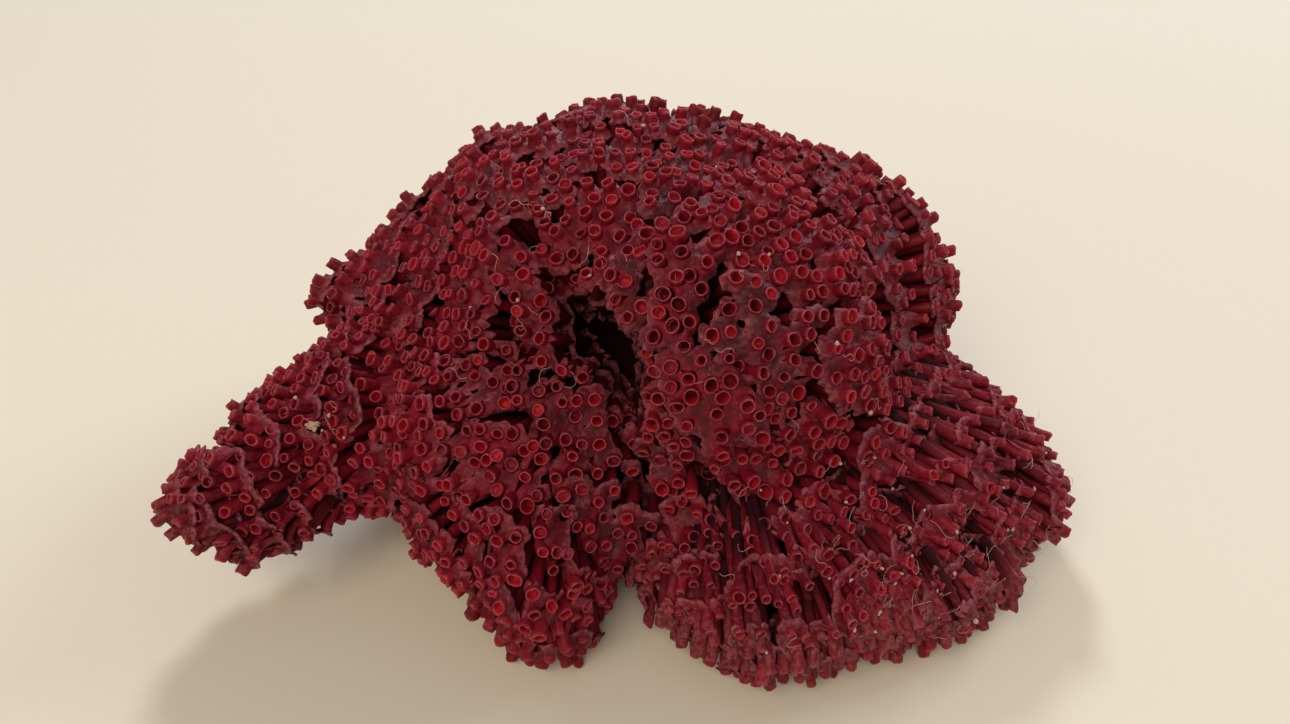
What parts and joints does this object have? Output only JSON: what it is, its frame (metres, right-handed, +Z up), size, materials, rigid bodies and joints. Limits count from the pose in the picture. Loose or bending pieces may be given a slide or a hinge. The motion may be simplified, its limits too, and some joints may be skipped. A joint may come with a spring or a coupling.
{
  "type": "organ pipe coral",
  "caption": "Domed head of red organ pipe coral: parallel stony tubes with open mouths, joined by thin platforms, with an arm, a fan and feet.",
  "frame": {"origin": "bottom centre of the bounding box, on the flat break it rests on", "axes": "+Z up, +X towards the fan on the right, -Y towards the front with the ravine"},
  "size_m": [0.1336, 0.1008, 0.0614],
  "materials": {
    "coral_crown": "crimson chalky tubes with lighter rims, faintly translucent",
    "coral_head": "crimson chalky tubes on duller brownish red platforms",
    "coral_left_lobe": "deep crimson chalky tubes, dark between",
    "coral_arm": "dusty brownish red tubes and sheets, grey dust on the break",
    "coral_fan": "crimson pipes seen lengthwise, dusty along the lower ledge",
    "coral_apron": "deep crimson pipes in tiers, dark between",
    "coral_back": "crimson chalky tubes",
    "coral_base": "broken tube ends, dull dark red",
    "pale_debris": "dusty threads and crumbs caught on the tubes"
  },
  "bodies": {
    "root": {"crown": "coral_crown", "front_head": "coral_head", "front_left_lobe": "coral_left_lobe", "left_arm": "coral_arm", "right_fan": "coral_fan", "front_apron": "coral_apron", "back_lobe": "coral_back", "base": "coral_base"}
  },
  "joints": []
}
